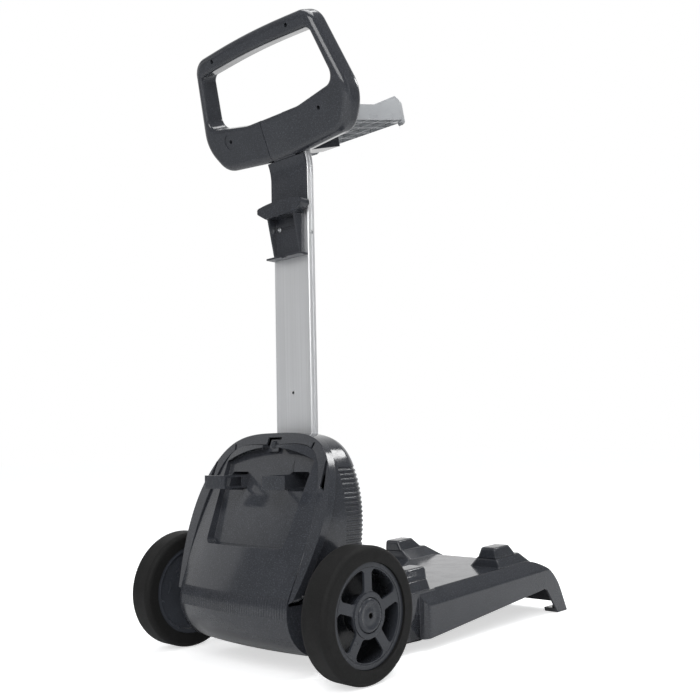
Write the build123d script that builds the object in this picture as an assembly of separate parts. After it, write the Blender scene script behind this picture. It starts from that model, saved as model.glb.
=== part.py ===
from build123d import *
import math
import os

# Wheels and axle
wheel_r = 90.0
tyre_width = 44.0
tyre_depth = 21.0
tyre_edge_r = 8.0
wheel_outer_x = 212.0
rim_inset = 3.5
rim_face_t = 5.0
rim_ring_t = 7.0
rim_dish_t = 4.0
rim_dish_depth = 14.0
spoke_count = 5
spoke_width = 15.0
hub_r = 30.0
hub_cap_t = 4.0
hub_cap_hole_r = 3.5
hub_reach = 12.0
axle_r = 7.0
axle_run_fit = 0.05
spacer_r = 9.5
push_nut_r = 13.0
push_nut_t = 2.0
side_play = 0.4

# Chassis under the housing
chassis_half = 114.0
chassis_rear = -30.0
chassis_front = 93.0
chassis_top = 104.0
chassis_under = 44.0
chassis_wall = 4.0
cheek_boss_r = 16.0

# Deck
deck_half = 150.0
deck_rear = 193.0
deck_tip = 614.0
deck_slope = 0.04
deck_wall = 4.0
seat_z = 95.88
skirt_rear_z = 16.6
skirt_slope = 0.088
arch_back = 69.5
foot_len = 34.0
foot_pad = 26.0
foot_pad_t = 8.0
lip_lean = 26.0
lip_r = 110.0
arch_r = 12.0
apron_z = 14.7
scoop_half = 103.0
scoop_run = 115.0
scoop_drop = 46.0
shoulder_w = 15.0
shoulder_drop = 25.0
deck_corner_r = 14.0
neck_half = 138.0
neck_rear = 120.0
rib_t = 2.5
rib_pitch = 66.0
rib_depth = 18.0

# Cradle blocks
front_block_y = 422.0
rear_block_y = 228.0
block_inner = 68.0
block_outer = 134.0
block_step_in = 17.0
block_step_out = 6.0
block_step_h = 16.5
block_step_len = 72.6
block_slope_len = 22.0
block_top_in = 95.0
block_top_out = 126.0
block_top_h = 34.0
block_top_len = 45.0
block_ledge = 9.6
block_top_flare = 9.0
block_edge_r = 6.0

# Housing
hood_top = 334.0
hood_shoulder_half = 136.0
hood_shoulder_z = 270.0
hood_upper_half = 106.0
hood_upper_z = 312.7
hood_half = 144.8
hood_half_z = 187.0
hood_base_half = 125.0
hood_front = 86.6
hood_wall = 4.0
hood_side_step = 9.0
hood_top_step = 1.2
hood_front_r = 26.0
rim_tilt = 21.6
rim_foot_y = -41.3
rim_foot_z = 156.6
rim_depth = 14.0
rim_edge_r = 11.0
rim_band = 20.0
rim_band_top = 18.0
hood_rib_count = 18
hood_rib_pitch = 6.6
hood_rib_z = 166.0
hood_rib_h = 3.2
hood_groove = 1.4
hood_rib_y = 36.0
hood_rib_x = 92.0
slit_x = 86.2
slit_z = 311.7
slit_len = 13.0
slit_w = 3.5
hood_boss_r = 9.0
hood_boss_h = 24.0
hood_boss_x = 105.5
hood_boss_y = 62.0
hood_boss_rear = -21.0
mast_slot_gap = 0.4

# Rear cover
cover_gap = 0.4
cover_t = 3.5
cover_tilt = 23.0
cover_crown_r = 650.0
barrel_r = 65.0
barrel_back = 10.5
barrel_half = 118.0
barrel_end_t = 4.0
barrel_end_top = 100.0
barrel_turn = 22.0
panel_depth = 9.0
panel_bottom_half = 85.0
panel_bottom_z = 171.2
panel_top_half = 97.5
panel_top_z = 292.0
panel_crown = 20.5
panel_corner_r = 11.0
cleat_x = 47.0
cleat_tip_x = 89.0
cleat_reach = 46.0
cleat_h = 20.0
cleat_z = 262.0
cleat_t = 5.0
cleat_flange = 3.5
cleat_bend_r = 4.5
window_h = 27.0
window_depth = 34.0
window_wall = 2.5
latch_w = 30.0
latch_h = 22.0
latch_t = 5.0
latch_gap = 0.5

# Mast
mast_w = 81.0
mast_t = 15.0
mast_wall = 2.0
mast_corner_r = 3.0
mast_rear = 65.7
mast_foot_z = 110.0
mast_bend_r = 70.0
mast_groove_w = 2.0
mast_groove_d = 0.8
mast_hole_r = 2.5
mast_hole_z = 396.4
socket_wall = 1.5
socket_rear_wall = 12.0
socket_side_wall = 11.0
socket_top = 210.0
socket_fit = 0.2
socket_flange = 14.0
socket_flange_t = 6.0
bolt_r = 4.0
bolt_head_r = 7.0
bolt_head_t = 4.0
bolt_x = 20.0
bolt_z = 165.0

# Handle
handle_tilt = 23.04
handle_z = 733.4
handle_t = 38.0
handle_top = 242.0
handle_corner_x = 134.5
handle_corner_s = 235.0
handle_half = 170.5
handle_half_s = 97.0
handle_low_x = 139.0
handle_low_s = 49.0
handle_base_x = 36.0
handle_base_s = 40.0
grip_h = 28.0
opening_corner_x = 126.5
opening_corner_s = 208.0
opening_low_x = 146.0
opening_low_s = 123.0
opening_base_x = 60.0
opening_base_s = 108.5
handle_edge_r = 12.0
opening_edge_r = 5.5
handle_wall = 6.0
handle_skin = 5.0
handle_screw_r = 3.2
handle_screw_top = (88.0, 223.0)
handle_screw_low = (104.0, 94.0)
handle_boss_r = 6.5
screw_dimple_r = 13.0
screw_dimple_d = 1.2

# Neck cover
neck_bottom_z = 686.0
neck_t = 4.0
neck_skin = 5.0
neck_fit = 0.3
tongue_half = 25.0
tongue_t = 8.0
tongue_sink = 0.4

# Cord hook
hook_z = 613.5
hook_h = 70.5
hook_half = 32.0
hook_foot_half = 31.0
hook_plate_t = 5.0
hook_reach = 23.0
hook_foot_reach = 8.0
hook_rib_t = 4.0
shelf_half = 51.0
shelf_reach = 26.0
shelf_t = 4.0
shelf_z = 696.0
shelf_crown = 5.0
shelf_tip_h = 9.0
shelf_root_h = 25.0
ledge_half = 39.0
ledge_reach = 18.0
ledge_t = 3.0
ledge_clip = 5.0
hook_screw_x = 20.4
hook_screw_z = 659.6
hook_screw_r = 4.2

# Power supply tray
tray_half = 120.0
tray_tilt = 14.5
tray_y = 96.3
tray_z = 815.3
tray_len = 138.0
tray_wall = 3.5
tray_wall_h = 24.0
tray_horn_h = 39.0
tray_horn_at = 108.0
tray_horn_from = 51.0
tray_floor_z = 9.0
tray_lip = 24.0
tray_lip_h = 5.0
tray_corner_r = 22.0
tray_rib_t = 2.5
tray_rib_pitch = 34.0
tray_back_h = 40.0
bracket_half = 20.0
bracket_reach = 66.0
bracket_h = 18.0
bracket_rear_h = 24.0
bracket_wall = 3.0
tray_screw_x = 70.0

# Small screws
screw_r = 2.0
screw_head_r = 4.2
screw_head_t = 2.4
screw_len = 12.0

os.makedirs("parts", exist_ok=True)


def box(x0, x1, y0, y1, z0, z1):
    return Pos((x0 + x1) / 2, (y0 + y1) / 2, (z0 + z1) / 2) * Box(x1 - x0, y1 - y0, z1 - z0)


def rod_x(r, x0, x1, y, z):
    return Pos((x0 + x1) / 2, y, z) * Rot(0, 90, 0) * Cylinder(r, x1 - x0)


def rod_y(r, x, y0, y1, z):
    return Pos(x, (y0 + y1) / 2, z) * Rot(90, 0, 0) * Cylinder(r, y1 - y0)


def rod_z(r, x, y, z0, z1):
    return Pos(x, y, (z0 + z1) / 2) * Cylinder(r, z1 - z0)


def polygon(*points):
    return make_face(Polyline(*points, close=True).edges())


def across(face, x0, x1):
    return extrude(Plane.YZ.offset(x0) * face, x1 - x0)


def along(face, y0, y1):
    return extrude(Plane.XZ.offset(-y1) * face, y1 - y0)


def both(shape):
    return shape + mirror(shape, about=Plane.YZ)


# The deck floor rises forward at a steady slope
def floor_z(y):
    return seat_z + deck_slope * (y - front_block_y)


def skirt_z(y):
    return skirt_rear_z + skirt_slope * (y - deck_rear)


# Side profile of the deck: floor, rounded front lip, leaning apron and foot
def deck_profile(inset, is_open):
    lean = math.tan(math.radians(lip_lean))
    reach = deck_tip - inset / math.cos(math.radians(lip_lean))
    corner_z = (seat_z - inset + deck_slope * (reach - front_block_y)) / (1 + deck_slope * lean)
    corner = (reach - corner_z * lean, corner_z)
    rear = deck_rear + inset
    start = (rear, floor_z(rear) - inset)
    if is_open:
        depth = -20.0
        tip = (reach - depth * lean, depth)
        lip = FilletPolyline(start, corner, tip, radius=lip_r - inset)
        rest = Polyline(tip, (rear, depth), start)
        return make_face([*lip.edges(), *rest.edges()])
    arch_y = deck_tip - arch_back
    lip = FilletPolyline(start, corner, (deck_tip, 0), radius=lip_r)
    under = FilletPolyline(
        (deck_tip, 0),
        (deck_tip - foot_len, 0),
        (arch_y, skirt_z(arch_y)),
        (deck_rear, skirt_rear_z),
        radius=[0.5, arch_r],
    )
    back = Line((deck_rear, skirt_rear_z), start)
    return make_face([*lip.edges(), *under.edges(), *back.edges()])


# What falls away outside the rounded shoulder, along the floor's slope
def shoulder(inset):
    x1 = deck_half - inset
    x0 = x1 - shoulder_w
    knee = (x0 + 0.72 * shoulder_w, -0.56 * shoulder_drop - inset)
    edges = [
        Line((x0, -inset), knee),
        ThreePointArc(knee, (x1 - 0.07 * shoulder_w, -0.74 * shoulder_drop - inset), (x1, -shoulder_drop - inset)),
        Polyline((x1, -shoulder_drop - inset), (x1 + 40, -shoulder_drop - inset), (x1 + 40, 60), (x0, 60), (x0, -inset)),
    ]
    outline = make_face([e for line in edges for e in line.edges()])
    start = deck_rear - 30
    face = Plane((0, start, floor_z(start)), x_dir=(1, 0, 0), z_dir=(0, -1, 0)) * outline
    return both(extrude(face, deck_tip - start + 40, dir=(0, 1, deck_slope)))


# The lowered middle of the front lip
def scoop(inset):
    y0 = deck_tip - scoop_run - inset * 0.4
    z0 = floor_z(y0) - inset
    slope = scoop_drop / scoop_run
    face = polygon((y0 - 60, z0 + 60 * slope), (deck_tip + 60, z0 - (deck_tip + 60 - y0) * slope), (deck_tip + 60, 300), (y0 - 60, 300))
    half = scoop_half + inset
    return across(face, -half, half)


# One stepped cradle block, its steep face at y = 0 and its slopes running to +y
def cradle(inset):
    def tier(x_foot, x_top, y_foot, y_top, z_foot, z_top):
        wide = polygon((x_foot[0], z_foot), (x_foot[1], z_foot), (x_top[1], z_top), (x_top[0], z_top))
        deep = polygon((inset, z_foot), (y_foot, z_foot), (y_top, z_top), (inset, z_top))
        solid = along(wide, inset - 1, y_foot + 1) & across(deep, x_foot[0] - 1, x_foot[1] + 1)
        return fillet([e for e in solid.edges() if e.center().Z > z_foot + 0.1], block_edge_r - inset)

    step_in = block_inner + block_step_in + inset
    step_out = block_outer - block_step_out - inset
    step_len = block_step_len - inset
    step_z = block_step_h - inset
    sink = 30.0
    lower = tier(
        (step_in - block_step_in * (step_z + sink) / block_step_h, step_out + block_step_out * (step_z + sink) / block_step_h),
        (step_in, step_out),
        step_len + block_slope_len * (step_z + sink) / block_step_h,
        step_len,
        -sink,
        step_z,
    )
    upper = tier(
        (block_top_in - block_top_flare + inset, step_out),
        (block_top_in + inset, block_top_out - inset),
        step_len - block_ledge,
        block_top_len - inset,
        step_z - 1,
        block_top_h - inset,
    )
    return lower + upper


tilt_deck = math.degrees(math.atan(deck_slope))


def all_cradles(inset):
    front = Pos(0, front_block_y, floor_z(front_block_y)) * Rot(tilt_deck, 0, 0) * cradle(inset)
    turned = mirror(cradle(inset), about=Plane.XZ)
    rear = Pos(0, rear_block_y, floor_z(rear_block_y)) * Rot(tilt_deck, 0, 0) * turned
    return both(front) + both(rear)


# Deck plan with rounded corners, and the narrower neck between the wheels
def deck_plan(inset):
    length = deck_tip + 60 - deck_rear
    plan = Pos(0, deck_rear + inset + length / 2) * RectangleRounded(2 * (deck_half - inset), length, deck_corner_r - inset)
    neck = Pos(0, (neck_rear + inset + deck_rear + 40) / 2) * Rectangle(2 * (neck_half - inset), deck_rear + 40 - neck_rear - inset)
    return extrude(Pos(0, 0, -60) * (plan + neck), 320)


def deck_body(inset, is_open):
    body = across(deck_profile(inset, is_open), -deck_half, deck_half)
    body = body - shoulder(inset)
    neck_low = -20.0 if is_open else skirt_rear_z
    top0 = floor_z(neck_rear + inset) - inset
    top1 = floor_z(deck_rear + 40) - inset
    neck = polygon((neck_rear + inset, neck_low), (deck_rear + 40, neck_low), (deck_rear + 40, top1), (neck_rear + inset, top0))
    body = body + across(neck, -neck_half + inset, neck_half - inset)
    body = body - scoop(inset)
    limit = across(polygon((neck_rear + inset, -40), (deck_tip + 20, -40), (deck_tip + 20, 220), (neck_rear + inset, 220)), -deck_half + inset, deck_half - inset)
    body = body + ((all_cradles(inset) & limit & below_lip(inset, is_open)) - shoulder(inset))
    return body & deck_plan(inset)


# Keeps the block slopes inside the skirt, lip and underside
def below_lip(inset, is_open):
    y1 = deck_tip - 40
    low = -20.0 if is_open else skirt_z(deck_rear)
    tall = polygon((neck_rear - 20, low), (y1, low if is_open else skirt_z(y1)), (y1, 220), (neck_rear - 20, 220))
    return across(tall, -deck_half, deck_half)


# Chassis box under the housing, joined to the neck of the deck
chassis_plate = box(-barrel_half, barrel_half, chassis_rear, chassis_front, barrel_end_top, chassis_top)
chassis_face = polygon(
    (chassis_rear, chassis_under),
    (neck_rear + 10, skirt_rear_z),
    (neck_rear + 10, floor_z(neck_rear)),
    (chassis_front, floor_z(neck_rear)),
    (chassis_front, barrel_end_top),
    (chassis_rear, barrel_end_top),
)
chassis_hollow = polygon(
    (chassis_rear + chassis_wall, -20),
    (neck_rear + 10 + chassis_wall, -20),
    (neck_rear + 10 + chassis_wall, floor_z(neck_rear) - chassis_wall),
    (chassis_front - chassis_wall, floor_z(neck_rear) - chassis_wall),
    (chassis_front - chassis_wall, barrel_end_top),
    (chassis_rear + chassis_wall, barrel_end_top),
)
inside_half = chassis_half - chassis_wall
outer = deck_body(0, False) + across(chassis_face, -chassis_half, chassis_half)
hollow = deck_body(deck_wall, True)
feet = both(box(deck_half - foot_pad, deck_half, deck_tip - 70, deck_tip, -40, foot_pad_t))
base = outer - (hollow - feet) - across(chassis_hollow, -inside_half, inside_half)
base = base - box(-deck_half + foot_pad, deck_half - foot_pad, deck_tip - foot_len - 40, deck_tip + 10, -10, apron_z)
base = base + chassis_plate

# Ribs under the deck floor
ribs = box(-rib_t / 2, rib_t / 2, deck_rear, deck_tip, -10, 200)
rib_rows = int((deck_tip - deck_rear - 60) / rib_pitch)
for i in range(1, rib_rows + 1):
    y = deck_rear + i * rib_pitch
    ribs = ribs + box(-deck_half, deck_half, y, y + rib_t, -10, 200)
floor_band = across(
    polygon(
        (deck_rear, floor_z(deck_rear) - rib_depth - deck_wall),
        (deck_tip - 70, floor_z(deck_tip - 70) - rib_depth - 40),
        (deck_tip - 70, 220),
        (deck_rear, 220),
    ),
    -deck_half,
    deck_half,
)
base = base + (ribs & floor_band & hollow)

# Axle bosses in the chassis cheeks
for side in (-1, 1):
    x0 = side * inside_half
    x1 = side * (inside_half - 10)
    boss = rod_x(cheek_boss_r, min(x0, x1), max(x0, x1), 0, wheel_r)
    base = base + (boss & box(-400, 400, -400, 900, -100, chassis_top))
base = base - rod_x(axle_r, -chassis_half - 20, chassis_half + 20, 0, wheel_r)


# Rear elevation of the housing as one smooth arch
def arch(side, drop, foot_half, grow=0.0):
    right = [
        (hood_upper_half - 0.45 * side + grow, hood_upper_z - 0.65 * drop + grow),
        (hood_shoulder_half - side + grow, hood_shoulder_z - 0.4 * drop),
        (hood_half - side + grow, hood_half_z),
        (foot_half + grow, chassis_top),
    ]
    left = [(-x, z) for x, z in reversed(right)]
    curve = Spline(*left, (0, hood_top - drop + grow), *right)
    return make_face([*curve.edges(), Line(right[-1], left[0]).edge()])


def rim_y(z):
    return rim_foot_y + math.tan(math.radians(rim_tilt)) * (z - rim_foot_z)


def slant(front, rear_shift, z0=0.0, z1=380.0):
    return polygon((rim_y(z0) + rear_shift, z0), (front, z0), (front, z1), (rim_y(z1) + rear_shift, z1))


def slant_band(shift0, shift1, z0=0.0, z1=380.0):
    return polygon((rim_y(z0) + shift0, z0), (rim_y(z0) + shift1, z0), (rim_y(z1) + shift1, z1), (rim_y(z1) + shift0, z1))


# The mast stands in the housing and leans back at the handle
handle_axes = Plane(
    (0, mast_rear, handle_z),
    x_dir=(1, 0, 0),
    z_dir=(0, -math.cos(math.radians(handle_tilt)), -math.sin(math.radians(handle_tilt))),
)
mast_y = mast_rear + mast_t / 2
sin_t = math.sin(math.radians(handle_tilt))
cos_t = math.cos(math.radians(handle_tilt))
mid_depth = handle_t / 2
bend_z = handle_z + mid_depth * sin_t + (mast_rear + mid_depth * cos_t - mast_y) * cos_t / sin_t
mast_end_s = opening_base_s - 10.0


def at_depth(s, depth):
    return (mast_rear - s * sin_t + depth * cos_t, handle_z + s * cos_t + depth * sin_t)


end_y, end_z = at_depth(mast_end_s, mid_depth)

# Hood: rim band, main box with rounded front, ribs, slot for the mast
rim_solid = along(arch(0, 0, hood_base_half), -200, 200) & across(slant_band(0, rim_depth), -200, 200)
rear_edge = rim_solid.faces().sort_by(Axis.Y)[0].edges().sort_by(Axis.Z)[-1]
rim_solid = fillet(rear_edge, rim_edge_r)
main_foot = barrel_half
main_solid = along(arch(hood_side_step, hood_top_step, main_foot), -200, hood_front) & across(slant(hood_front, rim_depth / 2), -200, 200)
front_edge = main_solid.faces().sort_by(Axis.Y)[-1].edges().sort_by(Axis.Z)[-1]
main_solid = fillet(front_edge, hood_front_r)
cavity = along(arch(hood_side_step + hood_wall, hood_top_step + hood_wall, main_foot - hood_wall), -200, hood_front - hood_wall)
cavity = cavity & across(slant(hood_front - hood_wall, hood_wall), -200, 200)
cavity_edge = cavity.faces().sort_by(Axis.Y)[-1].edges().sort_by(Axis.Z)[-1]
cavity = fillet(cavity_edge, hood_front_r - hood_wall)

core = along(arch(hood_side_step, hood_top_step, main_foot, -hood_groove), -200, hood_front - hood_groove)
core_edge = core.faces().sort_by(Axis.Y)[-1].edges().sort_by(Axis.Z)[-1]
core = fillet(core_edge, hood_front_r - hood_groove)
hood = rim_solid + main_solid - cavity
for i in range(hood_rib_count):
    z = hood_rib_z + i * hood_rib_pitch
    slab = both(box(hood_rib_x, 150, hood_rib_y, hood_front + 5, z, z + hood_rib_pitch - hood_rib_h))
    hood = hood - (slab - core)

# Opening for the rear cover
opening_face = arch(rim_band, rim_band_top, barrel_half)
hood = hood - (along(opening_face, -200, 200) & across(slant_band(-60, rim_depth), -200, 200))
hood = hood - box(
    -mast_w / 2 - mast_slot_gap,
    mast_w / 2 + mast_slot_gap,
    mast_rear - mast_slot_gap,
    mast_rear + mast_t + mast_slot_gap,
    socket_top,
    hood_top + 20,
)
for side in (-1, 1):
    slit = Pos(side * slit_x, 0, slit_z) * Rot(0, side * 18, 0) * Box(slit_w, 200, slit_len)
    hood = hood - (slit & across(slant_band(-60, hood_wall + 6), -200, 200))
    vent = polygon(
        (side * (hood_shoulder_half - 15), hood_shoulder_z + 22),
        (side * (hood_shoulder_half - 12), hood_shoulder_z + 21),
        (side * (hood_shoulder_half - 4), hood_shoulder_z - 20),
        (side * (hood_shoulder_half - 14), hood_shoulder_z - 15),
    )
    hood = hood - (along(vent, -200, 200) & across(slant_band(-60, rim_depth + 1), -200, 200))
    for y in (hood_boss_rear, hood_boss_y):
        boss = rod_z(hood_boss_r, side * hood_boss_x, y, chassis_top, chassis_top + hood_boss_h)
        hood = hood + (boss & cavity)

# Rear cover: crowned panel running into the barrel round the axle
cover_axis = Axis((0, cover_crown_r - barrel_back - barrel_r, 0), (0, 0, 1))
barrel_c = (-barrel_back, wheel_r)


def barrel_point(r, angle):
    a = math.radians(angle)
    return (barrel_c[0] + r * math.cos(a), barrel_c[1] + r * math.sin(a))


def cover_line(r):
    start = barrel_point(r, 180 - cover_tilt)
    rise = hood_top - start[1]
    return start, (start[0] + rise * math.tan(math.radians(cover_tilt)), hood_top)


def barrel_arc(r, last):
    return ThreePointArc(
        barrel_point(r, 180 - cover_tilt),
        barrel_point(r, (180 - cover_tilt + last) / 2),
        barrel_point(r, last),
    )


def crowned(face):
    spin = math.degrees(barrel_half / cover_crown_r) * 1.3
    turned = (Plane.YZ * face).rotate(cover_axis, -spin)
    return revolve(turned, cover_axis, 2 * spin)


last_angle = 270 + barrel_turn
barrel_end = barrel_point(barrel_r, last_angle)
out0, out1 = cover_line(barrel_r)
in0, in1 = cover_line(barrel_r - cover_t)
skin_face = make_face([
    Line(out1, out0).edge(),
    barrel_arc(barrel_r, last_angle).edge(),
    Line(barrel_point(barrel_r, last_angle), barrel_point(barrel_r - cover_t, last_angle)).edge(),
    barrel_arc(barrel_r - cover_t, last_angle).edge(),
    Line(in0, in1).edge(),
    Line(in1, out1).edge(),
])
full_face = make_face([
    Line(out1, out0).edge(),
    barrel_arc(barrel_r, last_angle).edge(),
    *Polyline(barrel_end, (hood_front, barrel_end[1]), (hood_front, hood_top), out1).edges(),
])
skin = crowned(skin_face)
full = crowned(full_face)
cover_outline = along(arch(rim_band + cover_gap, rim_band_top + cover_gap, barrel_half - cover_gap), -200, 200)
lower_outline = box(-barrel_half, barrel_half, -200, 200, -50, chassis_top)
cover = skin & (cover_outline + lower_outline)


def panel_face(grow):
    zb = panel_bottom_z - grow
    lean = (panel_top_half - panel_bottom_half) / (panel_top_z - panel_bottom_z)
    b = panel_bottom_half + grow - lean * grow
    t = panel_top_half + grow
    line = FilletPolyline(
        (t, panel_top_z),
        (b, zb),
        (-b, zb),
        (-t, panel_top_z),
        radius=panel_corner_r,
    )
    top = ThreePointArc((-t, panel_top_z), (0, panel_top_z + panel_crown + grow), (t, panel_top_z))
    return make_face([*line.edges(), top.edge()])


pocket = along(panel_face(0), -200, 200)
pocket_wall = along(panel_face(cover_t), -200, 200)
cover = cover - pocket
floor_cut = across(slant_band(-200, panel_depth), -300, 300)
floor_back = across(slant_band(-200, panel_depth + cover_t), -300, 300)
cover = cover + ((full & pocket_wall & floor_back & cover_outline) - (pocket & floor_cut))

# Barrel ends, open for the axle
for side in (-1, 1):
    x0 = min(side * barrel_half, side * (barrel_half - barrel_end_t))
    wall = full & box(x0, x0 + barrel_end_t, -200, -chassis_rear, -50, barrel_end_top - cover_gap)
    cover = cover + wall
cover = cover - rod_x(spacer_r + 1.5, -barrel_half - 5, barrel_half + 5, 0, wheel_r)

# Two cord cleats: open stem, outward tongue, and the blind moulding window behind each
floor_y = rim_y(cleat_z) + panel_depth
tongue_y = floor_y - cleat_reach
cleat_in = cleat_x - cleat_t
half_h = cleat_h / 2
for side in (-1, 1):
    face = polygon(
        (cleat_in, floor_y + 1),
        (cleat_in, tongue_y - cleat_t),
        (cleat_tip_x, tongue_y - cleat_t),
        (cleat_tip_x, tongue_y),
        (cleat_x, tongue_y),
        (cleat_x, floor_y + 1),
    )
    bend = face.vertices().group_by(Axis.Y)[0]
    face = fillet(bend, cleat_bend_r)
    cleat = Pos(0, 0, cleat_z - half_h) * extrude(face, cleat_h)
    way_h = half_h - cleat_flange
    cleat = cleat - box(cleat_in - 1, cleat_x + 1, tongue_y + 1, floor_y - 9, cleat_z - way_h, cleat_z + way_h)
    web = box(cleat_in, cleat_x, floor_y - 12, floor_y + cover_t + 6, cleat_z - half_h, cleat_z + half_h)
    hole = Pos((cleat_x + cleat_tip_x) / 2 - 1, cleat_z) * RectangleRounded(cleat_tip_x - cleat_x - 2, window_h, 5)
    window = extrude(Plane.XZ.offset(20 - floor_y) * hole, -(window_depth + 20))
    duct = extrude(Plane.XZ.offset(-floor_y) * offset(hole, window_wall), -(window_depth + window_wall))
    duct = duct & across(slant_band(panel_depth, panel_depth + window_depth + 20), -300, 300)
    parts = (cleat + (web & full), duct, window)
    if side < 0:
        parts = [mirror(p, about=Plane.YZ) for p in parts]
    cover = cover + parts[1] - parts[2] + parts[0]

# Latch notch in the rim and the snap tab in it
latch_z = hood_top - rim_band_top
notch = box(-latch_w / 2, latch_w / 2, -200, 200, latch_z - latch_h / 2, latch_z + latch_h / 2)
cover = cover - (notch & across(slant_band(-60, panel_depth), -300, 300))
hood = hood - (notch & across(slant_band(-60, 14), -300, 300))
tab = box(-latch_w / 2 + 4, latch_w / 2 - 4, -200, 200, latch_z - latch_h / 2 + latch_gap, latch_z + latch_h / 2 - 3)
tab = tab & across(slant_band(panel_depth - latch_t, panel_depth), -300, 300)
knob_y = rim_y(latch_z) + panel_depth - latch_t
latch = tab + rod_y(5.5, 0, knob_y - 3, knob_y + 2, latch_z)

# Mast: flat extrusion swept up the housing and round the bend
bend = math.radians(handle_tilt)
run = mast_bend_r * math.tan(bend / 2)
p0 = (mast_y, mast_foot_z)
p1 = (mast_y, bend_z - run)
p2 = (mast_y - run * sin_t, bend_z + run * cos_t)
pm = (mast_y - mast_bend_r * (1 - math.cos(bend / 2)), bend_z - run + mast_bend_r * math.sin(bend / 2))
path = Plane.YZ * (Line(p0, p1) + ThreePointArc(p1, pm, p2) + Line(p2, (end_y, end_z)))
section = RectangleRounded(mast_w, mast_t, mast_corner_r)
for side in (-1, 1):
    section = section - Pos(side * mast_w / 2, 0) * Rectangle(2 * mast_groove_d, mast_groove_w)
section = section - RectangleRounded(mast_w - 2 * mast_wall - 2, mast_t - 2 * mast_wall, mast_corner_r - 1)
section = Pos(0, mast_y, mast_foot_z) * section
mast = sweep(section, path=path)
mast = mast - rod_y(mast_hole_r, 0, mast_rear - 1, mast_rear + mast_wall + 1, mast_hole_z)

# Socket round the mast's foot, standing on the chassis
socket = box(
    -mast_w / 2 - socket_side_wall,
    mast_w / 2 + socket_side_wall,
    mast_rear - socket_rear_wall,
    mast_rear + mast_t + socket_wall,
    chassis_top,
    socket_top,
)
socket = socket + box(
    -mast_w / 2 - socket_side_wall,
    mast_w / 2 + socket_side_wall,
    mast_rear - socket_rear_wall - socket_flange,
    mast_rear + mast_t + socket_wall,
    chassis_top,
    chassis_top + socket_flange_t,
)
socket = socket - box(
    -mast_w / 2 - socket_fit,
    mast_w / 2 + socket_fit,
    mast_rear - socket_fit,
    mast_rear + mast_t + socket_fit,
    mast_foot_z,
    socket_top + 1,
)
bolt_y0 = mast_rear - socket_rear_wall
bolt_y1 = mast_rear + mast_t + socket_fit
bolts = [
    rod_y(bolt_r, side * bolt_x, bolt_y0, bolt_y1, bolt_z) + rod_y(bolt_head_r, side * bolt_x, bolt_y0 - bolt_head_t, bolt_y0, bolt_z)
    for side in (-1, 1)
]
for bolt in bolts:
    socket = socket - bolt
    mast = mast - bolt

# Wheels on the axle
wheel_in = wheel_outer_x - tyre_width
rim_r = wheel_r - tyre_depth
rim_out = wheel_outer_x - rim_inset
hub_in = wheel_in - hub_reach
tyre_face = Pos((rim_r + wheel_r) / 2, (wheel_in + wheel_outer_x) / 2) * Rectangle(tyre_depth, tyre_width)
tyre_edges = tyre_face.vertices().group_by(Axis.X)[-1]
tyre_face = fillet(tyre_edges, tyre_edge_r)
ring = revolve(Plane.XZ * tyre_face, Axis.Z)


def wheel_place(shape):
    return Pos(0, 0, wheel_r) * Rot(0, 90, 0) * shape


tyre = wheel_place(ring)
rim_profile = polygon(
    (axle_r + axle_run_fit, hub_in),
    (axle_r + 8, hub_in),
    (axle_r + 8, wheel_in + rim_dish_depth),
    (rim_r - rim_ring_t, wheel_in + 6),
    (rim_r - rim_ring_t, wheel_in + 2),
    (rim_r, wheel_in + 2),
    (rim_r, rim_out),
    (rim_r - rim_ring_t, rim_out),
    (rim_r - rim_ring_t, wheel_in + 6 + rim_dish_t),
    (hub_r - 6, wheel_in + rim_dish_depth + rim_dish_t - 2),
    (hub_r - 6, rim_out - hub_cap_t),
    (axle_r + axle_run_fit, rim_out - hub_cap_t),
)
rim_body = revolve(Plane.XZ * rim_profile, Axis.Z)
face_plate = Pos(0, 0, rim_out - rim_face_t) * extrude(Circle(rim_r - rim_ring_t + 1) - Circle(hub_r - 7), rim_face_t - 1)
gap_out = rim_r - rim_ring_t - 2
window_ring = Circle(gap_out) - Circle(hub_r + 1)
for i in range(spoke_count):
    a = 360.0 / spoke_count * i
    window_ring = window_ring - Rot(0, 0, a + 180) * Pos(gap_out / 2, 0) * Rectangle(gap_out + 6, spoke_width)
windows = fillet(window_ring.vertices(), 6)
face_plate = face_plate - Pos(0, 0, rim_out - rim_face_t - 1) * extrude(windows, rim_face_t + 2)
hub_ring = Pos(0, 0, rim_out - rim_face_t) * extrude(Circle(hub_r) - Circle(hub_r - 7), rim_face_t + 1.0)
rim = wheel_place(rim_body + face_plate + hub_ring)
cap_seat = rim_out - hub_cap_t
nut_seat = cap_seat + side_play
push_nut = Pos(0, 0, nut_seat) * extrude(Circle(push_nut_r) - Circle(axle_r), push_nut_t)
cap = Pos(0, 0, cap_seat) * extrude(Circle(hub_r - 7) - Circle(push_nut_r + 1.5), push_nut_t + 1)
cap_top = Pos(0, 0, cap_seat + push_nut_t + 1) * Cylinder(hub_r - 7, hub_cap_t, align=(Align.CENTER, Align.CENTER, Align.MIN))
cap_top = fillet(cap_top.edges().group_by(Axis.Z)[-1], 1.5)
cap = cap + cap_top - Cylinder(hub_cap_hole_r, 2 * wheel_outer_x + 60)
axle_half = nut_seat + push_nut_t
axle = rod_x(axle_r, -axle_half, axle_half, 0, wheel_r)
spacer_x0 = chassis_half
spacer_x1 = hub_in - side_play
spacer = rod_x(spacer_r, spacer_x0, spacer_x1, 0, wheel_r) - rod_x(axle_r, spacer_x0 - 1, spacer_x1 + 1, 0, wheel_r)

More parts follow.
